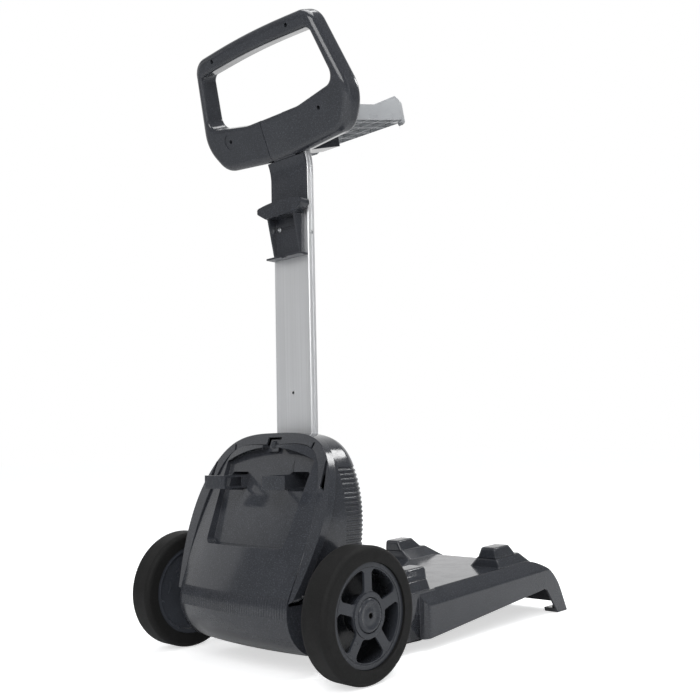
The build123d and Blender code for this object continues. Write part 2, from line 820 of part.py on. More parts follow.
# Handle shells on the tilted plane
handle_outline = make_face(FilletPolyline(
    (0, handle_top),
    (handle_corner_x, handle_corner_s),
    (handle_half, handle_half_s),
    (handle_low_x, handle_low_s),
    (handle_base_x, handle_base_s),
    (-handle_base_x, handle_base_s),
    (-handle_low_x, handle_low_s),
    (-handle_half, handle_half_s),
    (-handle_corner_x, handle_corner_s),
    radius=[1500, 30, 60, 38, 60, 60, 38, 60, 30],
    close=True,
).edges())
opening_outline = make_face(FilletPolyline(
    (0, handle_top - grip_h),
    (opening_corner_x, opening_corner_s),
    (opening_low_x, opening_low_s),
    (opening_base_x, opening_base_s),
    (-opening_base_x, opening_base_s),
    (-opening_low_x, opening_low_s),
    (-opening_corner_x, opening_corner_s),
    radius=[1500, 12, 18, 60, 60, 18, 12],
    close=True,
).edges())
loop = extrude(handle_outline, -handle_t)
loop = fillet(loop.faces().sort_by(Axis.Z)[-1].edges() + loop.faces().sort_by(Axis.Z)[0].edges(), handle_edge_r)
hole = extrude(opening_outline, -handle_t)
loop = loop - hole
hole_edges = [e for f in (loop.faces().sort_by(Axis.Z)[-1], loop.faces().sort_by(Axis.Z)[0]) for e in f.inner_wires()[0].edges()]
loop = fillet(hole_edges, opening_edge_r)
room_face = offset(handle_outline, -handle_wall) - offset(opening_outline, handle_wall)
room = Pos(0, 0, -handle_skin) * extrude(room_face, -(handle_t - 2 * handle_skin))
shell = loop - room
half_rear = Pos(0, 150, -mid_depth / 2) * Box(500, 500, mid_depth)
half_front = Pos(0, 150, -handle_t + mid_depth / 2) * Box(500, 500, handle_t - mid_depth)
mast_depth0 = mid_depth - mast_t / 2
mast_depth1 = mid_depth + mast_t / 2
rear_shell = shell & half_rear
front_shell = shell & half_front
mast_way = Pos(0, 0, -mid_depth) * Box(mast_w + 2 * neck_fit, 2 * (handle_base_s + handle_wall + 6), mast_t + 2 * neck_fit)
tongue_way = Pos(0, 60, -tongue_t / 2) * Box(2 * (tongue_half + neck_fit), 160, tongue_t + 2 * neck_fit)
screw_spots = [(side * x, s) for x, s in (handle_screw_top, handle_screw_low) for side in (-1, 1)]
for x, s in screw_spots:
    rear_shell = rear_shell + Pos(x, s, -mid_depth / 2 - 2) * Cylinder(handle_boss_r, mid_depth - 4)
    front_shell = front_shell + Pos(x, s, -mid_depth - (handle_t - mid_depth) / 2 + 2) * Cylinder(handle_boss_r, handle_t - mid_depth - 4)
for side in (-1, 1):
    clamp_x = side * (mast_w / 2 - 6)
    rear_shell = rear_shell + Pos(clamp_x, (handle_base_s + opening_base_s) / 2, -(handle_skin + mast_depth0) / 2 + 0.5) * Box(5, 40, mast_depth0 - handle_skin + 1)
    front_shell = front_shell + Pos(clamp_x, (handle_base_s + opening_base_s) / 2, -(handle_t - handle_skin + mast_depth1) / 2 - 0.5) * Box(5, 40, handle_t - handle_skin - mast_depth1 + 1)
rear_shell = rear_shell - mast_way - tongue_way
front_shell = front_shell - mast_way
handle_screws = []
for x, s in screw_spots:
    seat = 9.0
    rear_shell = rear_shell - Pos(x, s, -seat / 2) * Cylinder(handle_screw_r, seat)
    shaft = Pos(x, s, -seat - 6) * Cylinder(screw_r, 12)
    head = Pos(x, s, -seat + screw_head_t / 2) * Cylinder(handle_screw_r - 0.2, screw_head_t)
    screw = shaft + head
    rear_shell = rear_shell - shaft
    front_shell = front_shell - shaft
    handle_screws.append(screw)
x, s = handle_screw_low
rear_shell = rear_shell - Pos(-x, s, -screw_dimple_d / 2) * Cylinder(screw_dimple_r, screw_dimple_d)
rear_shell = handle_axes * rear_shell
front_shell = handle_axes * front_shell
handle_screws = [handle_axes * screw for screw in handle_screws]

# Neck cover on the rear of the mast, with the tongue into the handle
neck_d0 = mast_depth0
tongue_s = opening_base_s
base_s = handle_base_s
neck_top = base_s - neck_fit
bend_in = mast_bend_r - mast_t / 2


def bend_point(angle):
    return (mast_y - mast_bend_r + bend_in * math.cos(angle), p1[1] + bend_in * math.sin(angle))


neck_knee = mast_rear - neck_t
knee_s = (neck_t + neck_skin * cos_t) / sin_t
neck_line = FilletPolyline(
    (neck_knee, neck_bottom_z),
    (neck_knee, at_depth(knee_s, neck_skin)[1]),
    at_depth(neck_top, neck_skin),
    radius=mast_bend_r,
)
neck_face = make_face([
    *neck_line.edges(),
    Line(at_depth(neck_top, neck_skin), at_depth(neck_top, neck_d0)).edge(),
    Line(at_depth(neck_top, neck_d0), bend_point(bend)).edge(),
    ThreePointArc(bend_point(bend), bend_point(bend / 2), bend_point(0)).edge(),
    Polyline(bend_point(0), (mast_rear, neck_bottom_z), (neck_knee, neck_bottom_z)).edges()[0],
    Polyline(bend_point(0), (mast_rear, neck_bottom_z), (neck_knee, neck_bottom_z)).edges()[1],
])
neck = across(neck_face, -mast_w / 2, mast_w / 2)
tongue = Pos(0, (base_s + tongue_s) / 2, -tongue_t / 2) * Box(2 * tongue_half, tongue_s - base_s, tongue_t)
tongue = tongue & (Pos(0, -neck_fit, -tongue_sink) * loop)
root_t = tongue_t - neck_skin - tongue_sink
root = Pos(0, base_s, -tongue_t + root_t / 2) * Box(2 * tongue_half, 2 * handle_edge_r, root_t)
neck = neck + handle_axes * (tongue + root)

# Cord hook on the rear of the mast: tapering cheeks, arched wing and bottom ledge
hook_y = mast_rear
hook_top = hook_z + hook_h
hook_front = along(
    polygon((-hook_foot_half, hook_z), (hook_foot_half, hook_z), (hook_half, hook_top), (-hook_half, hook_top)),
    hook_y - hook_reach,
    hook_y,
)
hook_side = polygon((hook_y, hook_z), (hook_y - hook_foot_reach, hook_z), (hook_y - hook_reach, hook_top), (hook_y, hook_top))
hook_room = along(
    polygon(
        (-hook_foot_half + hook_rib_t, hook_z - 1),
        (hook_foot_half - hook_rib_t, hook_z - 1),
        (hook_half - hook_rib_t, hook_top + 1),
        (-hook_half + hook_rib_t, hook_top + 1),
    ),
    hook_y - hook_reach - 1,
    hook_y - hook_plate_t,
)
hook = (hook_front & across(hook_side, -hook_half, hook_half)) - hook_room


# Wing outline: arched top, drooping rounded tips, deep root
def wing_face(inset):
    half = shelf_half - inset
    top = shelf_z - inset
    tip_low = shelf_z - shelf_tip_h
    root_low = shelf_z + shelf_crown - shelf_root_h
    upper = ThreePointArc((-half, top), (0, top + shelf_crown), (half, top))
    lower = Polyline((half, top), (half, tip_low), (hook_half - inset, root_low), (inset - hook_half, root_low), (-half, tip_low), (-half, top))
    return make_face([upper.edge(), *lower.edges()])


neck_room = neck_t + 3.0
wing = along(wing_face(0), hook_y - shelf_reach, hook_y - neck_room)
tip_edges = wing.edges().filter_by(Axis.Y).filter_by(lambda e: abs(abs(e.center().X) - shelf_half) < 0.1)
wing = fillet(tip_edges, shelf_tip_h * 0.45)
wing_room = along(wing_face(shelf_t), hook_y - shelf_reach + shelf_t, hook_y) - along(
    polygon((-hook_half, 0), (hook_half, 0), (hook_half, hook_top), (-hook_half, hook_top)), 0, 200
)
ledge = box(-ledge_half, ledge_half, hook_y - ledge_reach, hook_y, hook_z - ledge_t, hook_z)
ledge = ledge - box(-ledge_clip, ledge_clip, hook_y - ledge_reach - 1, hook_y - ledge_reach + ledge_clip, hook_z - ledge_t - 1, hook_z + 1)
hook = hook + (wing - wing_room) + ledge
hook = hook - box(-60, 60, hook_y - neck_room, hook_y + 1, neck_bottom_z - 1, neck_bottom_z + 60)
hook_screws = []
for side in (-1, 1):
    head = rod_y(hook_screw_r, side * hook_screw_x, hook_y - hook_plate_t - 1.6, hook_y - hook_plate_t, hook_screw_z)
    shaft = rod_y(screw_r, side * hook_screw_x, hook_y - hook_plate_t, hook_y + mast_wall + 3, hook_screw_z)
    hook_screws.append(head + shaft)
    hook = hook - shaft
    mast = mast - shaft

# Tray in front of the handle
tray_axes = Plane((0, tray_y, tray_z), x_dir=(1, 0, 0), z_dir=(0, -math.sin(math.radians(tray_tilt)), math.cos(math.radians(tray_tilt))))
lean_back = math.radians(handle_tilt - tray_tilt)
ty = tray_y - mast_rear
tz = tray_z - handle_z
tray_back = (handle_t - (ty * cos_t + tz * sin_t)) / math.cos(lean_back)
tray_plan = Pos(0, (tray_back + tray_len) / 2 - 20) * Rectangle(2 * tray_half, tray_len - tray_back + 40)
tray_plan = fillet(tray_plan.vertices().group_by(Axis.Y)[-1], tray_corner_r)
tray_side = polygon(
    (tray_back - 40, 0),
    (tray_len - 2, 0),
    (tray_len, tray_floor_z),
    (tray_len - tray_corner_r / 2, tray_wall_h + 3),
    (tray_horn_at, tray_horn_h),
    (tray_horn_from, tray_wall_h),
    (tray_back - 40, tray_wall_h),
)


def tray_solid(inset, z0, z1):
    plan = offset(tray_plan, -inset) if inset > 0 else tray_plan
    return extrude(Pos(0, 0, z0) * plan, z1 - z0)


tray_outer = tray_solid(0, 0, tray_horn_h + 5) & across(tray_side, -tray_half - 5, tray_half + 5)
tray_upper = tray_solid(tray_wall, tray_floor_z, tray_horn_h + 6)
tray_under = tray_solid(tray_wall, -1, tray_floor_z - tray_wall)
tray = tray_outer - tray_upper
tray_ribs = box(-tray_rib_t / 2, tray_rib_t / 2, -80, tray_len, 0, tray_floor_z)
rib_n = int(tray_half / tray_rib_pitch)
for i in range(1, rib_n + 1):
    for side in (-1, 1):
        x = side * i * tray_rib_pitch
        tray_ribs = tray_ribs + box(x - tray_rib_t / 2, x + tray_rib_t / 2, -80, tray_len, 0, tray_floor_z)
for i in range(1, int(tray_len / tray_rib_pitch) + 1):
    y = i * tray_rib_pitch
    tray_ribs = tray_ribs + box(-tray_half, tray_half, y - tray_rib_t / 2, y + tray_rib_t / 2, 0, tray_floor_z)
tray = tray - (tray_under - tray_ribs)
tray_mid = Pos(0, tray_len - 5, tray_floor_z + 30) * Box(2 * (tray_half - 2.2 * tray_corner_r), 40, 60 - 2 * 4)
tray = tray - tray_mid
lips = both(box(tray_half - tray_lip, tray_half, tray_len - tray_lip, tray_len, -tray_lip_h, tray_wall))
lips = lips & tray_solid(0, -tray_lip_h, tray_wall)
lip_edges = lips.faces().sort_by(Axis.Z)[0].edges() + lips.faces().sort_by(Axis.Z)[1].edges()
tray = tray + (fillet(lip_edges, tray_wall) - tray_solid(tray_wall, -tray_lip_h - 1, 0))
handle_front = Plane((0, *at_depth(0, handle_t)), x_dir=(1, 0, 0), z_dir=(0, cos_t, sin_t))
tray = tray_axes * tray
keep_front = handle_front * (Pos(0, 0, 250) * Box(600, 900, 500))
tray = tray & keep_front
s_floor = (tray_back * math.sin(math.radians(tray_tilt)) + tray_z - at_depth(0, handle_t)[1]) / cos_t
back_face = Pos(0, -s_floor - tray_back_h / 2 - 1) * RectangleRounded(2 * tray_half - 30, tray_back_h, 8)
back_plate = handle_front * extrude(back_face, tray_wall)
tray = tray + back_plate

# Bracket under the middle of the tray
def bracket_solid(inset):
    side = polygon(
        (tray_back - 10, 0),
        (bracket_reach - inset, 0),
        (bracket_reach - inset, inset - bracket_h),
        (tray_back - 10, inset - bracket_rear_h),
    )
    return across(side, inset - bracket_half, bracket_half - inset)


bracket = (tray_axes * (bracket_solid(0) - bracket_solid(bracket_wall))) & keep_front
tray_screws = []
for side in (-1, 1):
    seat = handle_front * (Pos(side * tray_screw_x, -s_floor - 20, tray_wall + screw_head_t / 2) * Cylinder(screw_head_r, screw_head_t))
    pin = handle_front * (Pos(side * tray_screw_x, -s_floor - 20, tray_wall / 2 - 5) * Cylinder(screw_r, tray_wall + 10))
    tray_screws.append(seat + pin)
    tray = tray - pin
    front_shell = front_shell - pin

# Hidden fixings of the hood, socket and rear cover
hood_screws = []
for side in (-1, 1):
    for y in (hood_boss_rear, hood_boss_y):
        x = side * hood_boss_x
        screw = rod_z(screw_r, x, y, barrel_end_top, chassis_top + screw_len) + rod_z(screw_head_r, x, y, barrel_end_top - screw_head_t, barrel_end_top)
        hood_screws.append(screw)
        base = base - rod_z(screw_r, x, y, barrel_end_top - 1, chassis_top + 1)
        hood = hood - rod_z(screw_r, x, y, chassis_top - 1, chassis_top + screw_len)
socket_screws = []
for side in (-1, 1):
    x = side * (mast_w / 2)
    y = mast_rear - socket_rear_wall - socket_flange / 2
    top = chassis_top + socket_flange_t
    screw = rod_z(screw_r, x, y, barrel_end_top, top) + rod_z(screw_head_r, x, y, top, top + screw_head_t)
    socket_screws.append(screw)
    socket = socket - rod_z(screw_r, x, y, chassis_top - 1, top + 1)
    base = base - rod_z(screw_r, x, y, barrel_end_top - 1, chassis_top + 1)
cover_screws = []
for side in (-1, 1):
    y = chassis_rear + 12
    z = chassis_under + 20
    x0 = min(side * (chassis_half - chassis_wall), side * barrel_half)
    x1 = max(side * (chassis_half - chassis_wall), side * barrel_half)
    h0 = min(side * barrel_half, side * (barrel_half + screw_head_t))
    h1 = max(side * barrel_half, side * (barrel_half + screw_head_t))
    screw = rod_x(screw_r, x0, x1, y, z) + rod_x(screw_head_r, h0, h1, y, z)
    cover_screws.append(screw)
    base = base - rod_x(screw_r, x0, x1, y, z)
    cover = cover - rod_x(screw_r, x0, x1, y, z)

# Every piece stands with the middle of its footprint over the origin
mid_y = (deck_tip - wheel_r) / 2
stand = Pos(0, -mid_y, 0)
pieces = {
    "base_deck": base,
    "housing_hood": hood,
    "rear_cover": cover,
    "cover_latch": latch,
    "mast": mast,
    "mast_socket": socket,
    "mast_bolts": bolts,
    "axle": axle,
    "wheel_spacers": [spacer, mirror(spacer, about=Plane.YZ)],
    "push_nuts": [wheel_place(push_nut), mirror(wheel_place(push_nut), about=Plane.YZ)],
    "right_wheel_rim": rim,
    "left_wheel_rim": mirror(rim, about=Plane.YZ),
    "right_tyre": tyre,
    "left_tyre": mirror(tyre, about=Plane.YZ),
    "right_hub_cap": wheel_place(cap),
    "left_hub_cap": mirror(wheel_place(cap), about=Plane.YZ),
    "handle_rear_shell": rear_shell,
    "handle_front_shell": front_shell,
    "handle_screws": handle_screws,
    "neck_cover": neck,
    "cord_hook": hook,
    "cord_hook_screws": hook_screws,
    "power_supply_tray": tray,
    "tray_bracket": bracket,
    "tray_screws": tray_screws,
    "hood_screws": hood_screws,
    "socket_screws": socket_screws,
    "cover_screws": cover_screws,
}
for name, shape in pieces.items():
    members = shape if isinstance(shape, list) else [shape]
    solids = [s for m in members for s in (stand * m).solids()]
    print(name, len(solids))
    export_step(Compound(children=solids) if len(solids) > 1 else solids[0], f"parts/{name}.step")
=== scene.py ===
import math
import bpy
from mathutils import Matrix, Vector


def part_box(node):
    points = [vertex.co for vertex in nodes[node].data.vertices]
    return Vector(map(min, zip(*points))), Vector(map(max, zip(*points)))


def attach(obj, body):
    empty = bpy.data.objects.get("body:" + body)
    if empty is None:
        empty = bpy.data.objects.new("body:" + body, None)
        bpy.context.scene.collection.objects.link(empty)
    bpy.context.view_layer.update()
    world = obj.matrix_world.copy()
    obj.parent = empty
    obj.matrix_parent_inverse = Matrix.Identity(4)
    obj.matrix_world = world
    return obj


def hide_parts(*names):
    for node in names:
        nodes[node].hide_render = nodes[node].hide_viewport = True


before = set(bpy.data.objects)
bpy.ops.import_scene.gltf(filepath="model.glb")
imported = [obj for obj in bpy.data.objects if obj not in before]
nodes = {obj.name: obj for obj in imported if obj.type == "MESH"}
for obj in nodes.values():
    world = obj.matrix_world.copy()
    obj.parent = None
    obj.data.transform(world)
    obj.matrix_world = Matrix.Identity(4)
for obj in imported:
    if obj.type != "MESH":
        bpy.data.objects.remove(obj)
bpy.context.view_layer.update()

scene = bpy.context.scene

# The studio: a pale floor under the caddy, white all round, and five soft boxes.
# The camera stands low behind the right wheel and looks slightly upwards.
scene.view_settings.view_transform = "Standard"
eye = Vector((0.9982, -1.1379, 0.3121))
yaw = math.radians(42.89)
pitch = math.radians(6.24)
roll = math.radians(-1.34)
focal_px = 874.49
picture_px = 700.0
film_mm = 36.0
level = math.cos(pitch)
ahead = Vector((-math.sin(yaw) * level, math.cos(yaw) * level, math.sin(pitch)))
level_right = Vector((math.cos(yaw), math.sin(yaw), 0.0))
level_up = level_right.cross(ahead)
cam_right = level_right * math.cos(roll) + level_up * math.sin(roll)
cam_up = level_up * math.cos(roll) - level_right * math.sin(roll)
cam_turn = Matrix((cam_right, cam_up, -ahead)).transposed()
cam_data = bpy.data.cameras.new("studio_camera")
cam_data.sensor_width = film_mm
cam_data.lens = focal_px * film_mm / picture_px
cam_data.clip_end = 100.0
camera = bpy.data.objects.new("studio_camera", cam_data)
camera.matrix_world = Matrix.Translation(eye) @ cam_turn.to_4x4()
scene.collection.objects.link(camera)
scene.camera = camera


def reckon(tree, operation):
    node = tree.nodes.new("ShaderNodeMath")
    node.operation = operation
    return node


def reckon_vector(tree, operation):
    node = tree.nodes.new("ShaderNodeVectorMath")
    node.operation = operation
    return node


def spread(tree, low, high, out_low, out_high):
    node = tree.nodes.new("ShaderNodeMapRange")
    node.inputs["From Min"].default_value = low
    node.inputs["From Max"].default_value = high
    node.inputs["To Min"].default_value = out_low
    node.inputs["To Max"].default_value = out_high
    return node


# White to the eye, an even fill on dull faces, and brighter to one side where gloss mirrors it
white = (1.0, 1.0, 1.0, 1.0)
fill_tint = (0.94, 0.97, 1.0, 1.0)
fill_level = 0.5
bright_side = (-0.68, 0.73, 0.0)
dim_level = 0.25
bright_level = 1.05
world = bpy.data.worlds.new("white_studio")
scene.world = world
world.use_nodes = True
sky = world.node_tree
sky.nodes.clear()
sky_out = sky.nodes.new("ShaderNodeOutputWorld")
sky_seen_mix = sky.nodes.new("ShaderNodeMixShader")
sky_gloss_mix = sky.nodes.new("ShaderNodeMixShader")
sky_fill = sky.nodes.new("ShaderNodeBackground")
sky_fill.inputs["Color"].default_value = fill_tint
sky_fill.inputs["Strength"].default_value = fill_level
sky_white = sky.nodes.new("ShaderNodeBackground")
sky_white.inputs["Color"].default_value = white
sky_white.inputs["Strength"].default_value = 1.0
sky_round = sky.nodes.new("ShaderNodeBackground")
sky_round.inputs["Color"].default_value = white
sky_path = sky.nodes.new("ShaderNodeLightPath")
sky_seen = reckon(sky, "MAXIMUM")
sky_place = sky.nodes.new("ShaderNodeTexCoord")
sky_axes = reckon_vector(sky, "DOT_PRODUCT")
sky_axes.inputs[1].default_value = bright_side
sky_depth = spread(sky, 0.3, 0.9, dim_level, bright_level)
sky_depth.interpolation_type = "SMOOTHSTEP"
sky.links.new(sky_place.outputs["Generated"], sky_axes.inputs[0])
sky.links.new(sky_axes.outputs["Value"], sky_depth.inputs["Value"])
sky.links.new(sky_depth.outputs["Result"], sky_round.inputs["Strength"])
sky.links.new(sky_path.outputs["Is Glossy Ray"], sky_gloss_mix.inputs[0])
sky.links.new(sky_fill.outputs[0], sky_gloss_mix.inputs[1])
sky.links.new(sky_round.outputs[0], sky_gloss_mix.inputs[2])
sky.links.new(sky_path.outputs["Is Camera Ray"], sky_seen.inputs[0])
sky.links.new(sky_path.outputs["Is Transmission Ray"], sky_seen.inputs[1])
sky.links.new(sky_seen.outputs[0], sky_seen_mix.inputs[0])
sky.links.new(sky_gloss_mix.outputs[0], sky_seen_mix.inputs[1])
sky.links.new(sky_white.outputs[0], sky_seen_mix.inputs[2])
sky.links.new(sky_seen_mix.outputs[0], sky_out.inputs["Surface"])


def soft_box(name, place, aim, width, height, power):
    lamp = bpy.data.lights.new(name, "AREA")
    lamp.shape = "RECTANGLE"
    lamp.size = width
    lamp.size_y = height
    lamp.energy = power
    box = bpy.data.objects.new(name, lamp)
    box.location = place
    box.rotation_euler = (Vector(aim) - Vector(place)).to_track_quat("-Z", "Y").to_euler()
    scene.collection.objects.link(box)


soft_box("box_rear", (1.3, -1.85, 1.5), (0.0, -0.1, 0.45), width=1.3, height=1.3, power=29.0)
soft_box("box_left", (-2.3, -1.3, 1.3), (0.0, -0.1, 0.4), width=1.2, height=1.6, power=3.5)
soft_box("box_right", (2.4, 0.2, 1.3), (0.0, 0.0, 0.45), width=0.8, height=2.0, power=3.0)
soft_box("box_top", (0.25, -0.1, 2.6), (0.05, 0.0, 0.2), width=1.0, height=1.6, power=25.0)
soft_box("box_front", (0.8, 1.6, 2.0), (0.1, -0.05, 0.3), width=0.8, height=0.4, power=12.0)

floor_side = 40.0
floor_z = -0.0005
floor_tint = (0.8, 0.8, 0.8, 1.0)
floor_lift = 0.62
floor_gloss_share = 0.1
bpy.ops.object.select_all(action="DESELECT")
bpy.ops.mesh.primitive_plane_add(size=floor_side, location=(0.0, 0.0, floor_z))
floor = bpy.context.object
floor.name = "studio_floor"
floor_mat = bpy.data.materials.new("pale_floor")
floor_mat.use_nodes = True
ft = floor_mat.node_tree
ft.nodes.clear()
floor_out = ft.nodes.new("ShaderNodeOutputMaterial")
floor_add = ft.nodes.new("ShaderNodeAddShader")
floor_paint = ft.nodes.new("ShaderNodeBsdfDiffuse")
floor_paint.inputs["Color"].default_value = floor_tint
floor_glow = ft.nodes.new("ShaderNodeEmission")
floor_glow.inputs["Color"].default_value = white
floor_path = ft.nodes.new("ShaderNodeLightPath")
floor_seen = reckon(ft, "MULTIPLY_ADD")
floor_seen.inputs[1].default_value = floor_gloss_share
floor_level = reckon(ft, "MULTIPLY")
floor_level.inputs[1].default_value = floor_lift
ft.links.new(floor_path.outputs["Is Glossy Ray"], floor_seen.inputs[0])
ft.links.new(floor_path.outputs["Is Camera Ray"], floor_seen.inputs[2])
ft.links.new(floor_seen.outputs[0], floor_level.inputs[0])
ft.links.new(floor_level.outputs[0], floor_glow.inputs["Strength"])
ft.links.new(floor_paint.outputs[0], floor_add.inputs[0])
ft.links.new(floor_glow.outputs[0], floor_add.inputs[1])
ft.links.new(floor_add.outputs[0], floor_out.inputs["Surface"])
floor.data.materials.append(floor_mat)


# Base deck: one large injection moulding, the chassis box under the housing with the cradle
# deck in front of it, in charcoal polypropylene with a glossy skin and softened edges.
skin = bpy.data.node_groups.new("moulded_skin", "ShaderNodeTree")
skin_sockets = (
    ("Colour", "INPUT", "NodeSocketColor"),
    ("Gloss", "INPUT", "NodeSocketFloat"),
    ("Grain", "INPUT", "NodeSocketFloat"),
    ("Fleck", "INPUT", "NodeSocketFloat"),
    ("Colour", "OUTPUT", "NodeSocketColor"),
    ("Roughness", "OUTPUT", "NodeSocketFloat"),
    ("Height", "OUTPUT", "NodeSocketFloat"),
)
for socket, side, kind in skin_sockets:
    skin.interface.new_socket(socket, in_out=side, socket_type=kind)


def noise(tree, scale, detail):
    node = tree.nodes.new("ShaderNodeTexNoise")
    node.inputs["Scale"].default_value = scale
    node.inputs["Detail"].default_value = detail
    return node


skin_in = skin.nodes.new("NodeGroupInput")
skin_out = skin.nodes.new("NodeGroupOutput")
skin_place = skin.nodes.new("ShaderNodeTexCoord")
grain = skin.nodes.new("ShaderNodeTexNoise")
grain.inputs["Detail"].default_value = 2.0
grain.inputs["Roughness"].default_value = 0.6
mottle = noise(skin, 16.0, 4.0)
mottle_tone = spread(skin, 0.3, 0.7, 0.9, 1.1)
fleck = noise(skin, 700.0, 2.0)
fleck_tone = spread(skin, 0.52, 0.72, 0.0, 1.0)
fleck_lift = reckon(skin, "MULTIPLY_ADD")
skin_tint = reckon_vector(skin, "SCALE")
rub = noise(skin, 34.0, 5.0)
rub.inputs["Distortion"].default_value = 0.6
rub_rough = spread(skin, 0.35, 0.7, -0.03, 0.06)
skin_rough = reckon(skin, "ADD")
for pattern in (grain, mottle, fleck, rub):
    skin.links.new(skin_place.outputs["Object"], pattern.inputs["Vector"])
skin.links.new(skin_in.outputs["Grain"], grain.inputs["Scale"])
skin.links.new(mottle.outputs["Fac"], mottle_tone.inputs["Value"])
skin.links.new(fleck.outputs["Fac"], fleck_tone.inputs["Value"])
skin.links.new(fleck_tone.outputs["Result"], fleck_lift.inputs[0])
skin.links.new(skin_in.outputs["Fleck"], fleck_lift.inputs[1])
skin.links.new(mottle_tone.outputs["Result"], fleck_lift.inputs[2])
skin.links.new(skin_in.outputs["Colour"], skin_tint.inputs[0])
skin.links.new(fleck_lift.outputs[0], skin_tint.inputs["Scale"])
skin.links.new(rub.outputs["Fac"], rub_rough.inputs["Value"])
skin.links.new(skin_in.outputs["Gloss"], skin_rough.inputs[0])
skin.links.new(rub_rough.outputs["Result"], skin_rough.inputs[1])
skin.links.new(skin_tint.outputs["Vector"], skin_out.inputs["Colour"])
skin.links.new(skin_rough.outputs[0], skin_out.inputs["Roughness"])
skin.links.new(grain.outputs["Fac"], skin_out.inputs["Height"])


def moulded(name, colour, gloss, grain_size, grain_height, flecks, specular):
    mat = bpy.data.materials.new(name)
    mat.use_nodes = True
    tree = mat.node_tree
    face = tree.nodes["Principled BSDF"]
    face.inputs["Specular IOR Level"].default_value = specular
    look = tree.nodes.new("ShaderNodeGroup")
    look.node_tree = skin
    look.inputs["Colour"].default_value = (*colour, 1.0)
    look.inputs["Gloss"].default_value = gloss
    look.inputs["Grain"].default_value = grain_size
    look.inputs["Fleck"].default_value = flecks
    bump = tree.nodes.new("ShaderNodeBump")
    bump.inputs["Strength"].default_value = 0.4
    bump.inputs["Distance"].default_value = grain_height
    tree.links.new(look.outputs["Colour"], face.inputs["Base Color"])
    tree.links.new(look.outputs["Roughness"], face.inputs["Roughness"])
    tree.links.new(look.outputs["Height"], bump.inputs["Height"])
    tree.links.new(bump.outputs["Normal"], face.inputs["Normal"])
    return mat


# The node's own shape with its sharp edges rounded over, as the mould leaves them.
# Flat and curved faces keep the shading of the solid, and only the roundings are new.
def softened(node, name, body, mat, width, join=0.0):
    weld = 0.00002
    sliver = 0.00001
    sharp = math.radians(32.0)
    crease = math.radians(40.0)
    bpy.ops.object.select_all(action="DESELECT")
    piece = bpy.data.objects.new(name, nodes[node].data.copy())
    scene.collection.objects.link(piece)
    bpy.context.view_layer.objects.active = piece
    piece.select_set(True)
    piece.data.materials.clear()
    piece.data.materials.append(mat)
    piece.data.materials.append(mat)
    for face in piece.data.polygons:
        face.material_index = 0
    bpy.ops.mesh.customdata_custom_splitnormals_clear()
    bpy.ops.object.mode_set(mode="EDIT")
    bpy.ops.mesh.select_all(action="SELECT")
    bpy.ops.mesh.remove_doubles(threshold=weld)
    if join > 0.0:
        bpy.ops.mesh.dissolve_limited(angle_limit=math.radians(join))
    bpy.ops.object.mode_set(mode="OBJECT")
    edge = piece.modifiers.new("rounded_edges", "BEVEL")
    edge.limit_method = "ANGLE"
    edge.angle_limit = sharp
    edge.width = width
    edge.segments = 2
    edge.use_clamp_overlap = False
    edge.material = 1
    bpy.ops.object.modifier_apply(modifier=edge.name)
    bpy.ops.object.mode_set(mode="EDIT")
    bpy.ops.mesh.select_all(action="SELECT")
    bpy.ops.mesh.dissolve_degenerate(threshold=sliver)
    bpy.ops.object.mode_set(mode="OBJECT")
    bpy.ops.object.shade_smooth_by_angle(angle=crease)
    flat = piece.modifiers.new("flat_faces", "WEIGHTED_NORMAL")
    flat.keep_sharp = True
    bpy.ops.object.modifier_apply(modifier=flat.name)
    true_face = piece.vertex_groups.new(name="true_face")
    flats = [face for face in piece.data.polygons if face.material_index == 0]
    true_face.add(list({v for face in flats for v in face.vertices}), 1.0, "REPLACE")
    shade = piece.modifiers.new("true_curves", "DATA_TRANSFER")
    shade.object = nodes[node]
    shade.use_loop_data = True
    shade.data_types_loops = {"CUSTOM_NORMAL"}
    shade.loop_mapping = "POLYINTERP_NEAREST"
    shade.vertex_group = true_face.name
    bpy.ops.object.modifier_apply(modifier=shade.name)
    for face in piece.data.polygons:
        face.material_index = 0
    piece.data.materials.pop(index=1)
    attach(piece, body)
    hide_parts(node)
    return piece


charcoal = moulded(
    "charcoal_plastic",
    colour=(0.0285, 0.0305, 0.036),
    gloss=0.14,
    grain_size=1500.0,
    grain_height=0.00002,
    flecks=1.0,
    specular=0.5,
)
deck = softened("base_deck", "deck_moulding", "chassis", charcoal, width=0.001)
# The rounded edges of the feet stay on the floor
for vertex in deck.data.vertices:
    vertex.co.z = max(vertex.co.z, 0.0)


# Axle: a zinc-plated steel rod through the chassis' cheeks that both wheels turn on, with a
# black nylon spacer tube between cheek and wheel and a push nut pressed on each end.
def finish_as(mat, *names):
    for name in names:
        slots = nodes[name].data.materials
        slots.clear()
        slots.append(mat)


def plated(name, colour, rough):
    mat = bpy.data.materials.new(name)
    mat.use_nodes = True
    tree = mat.node_tree
    face = tree.nodes["Principled BSDF"]
    face.inputs["Metallic"].default_value = 1.0
    place = tree.nodes.new("ShaderNodeTexCoord")
    cloud = noise(tree, 260.0, 4.0)
    tone = spread(tree, 0.0, 1.0, 0.85, 1.15)
    tint = reckon_vector(tree, "SCALE")
    tint.inputs[0].default_value = colour
    dull = spread(tree, 0.0, 1.0, rough - 0.07, rough + 0.07)
    tree.links.new(place.outputs["Object"], cloud.inputs["Vector"])
    tree.links.new(cloud.outputs["Fac"], tone.inputs["Value"])
    tree.links.new(tone.outputs["Result"], tint.inputs["Scale"])
    tree.links.new(tint.outputs["Vector"], face.inputs["Base Color"])
    tree.links.new(cloud.outputs["Fac"], dull.inputs["Value"])
    tree.links.new(dull.outputs["Result"], face.inputs["Roughness"])
    return mat


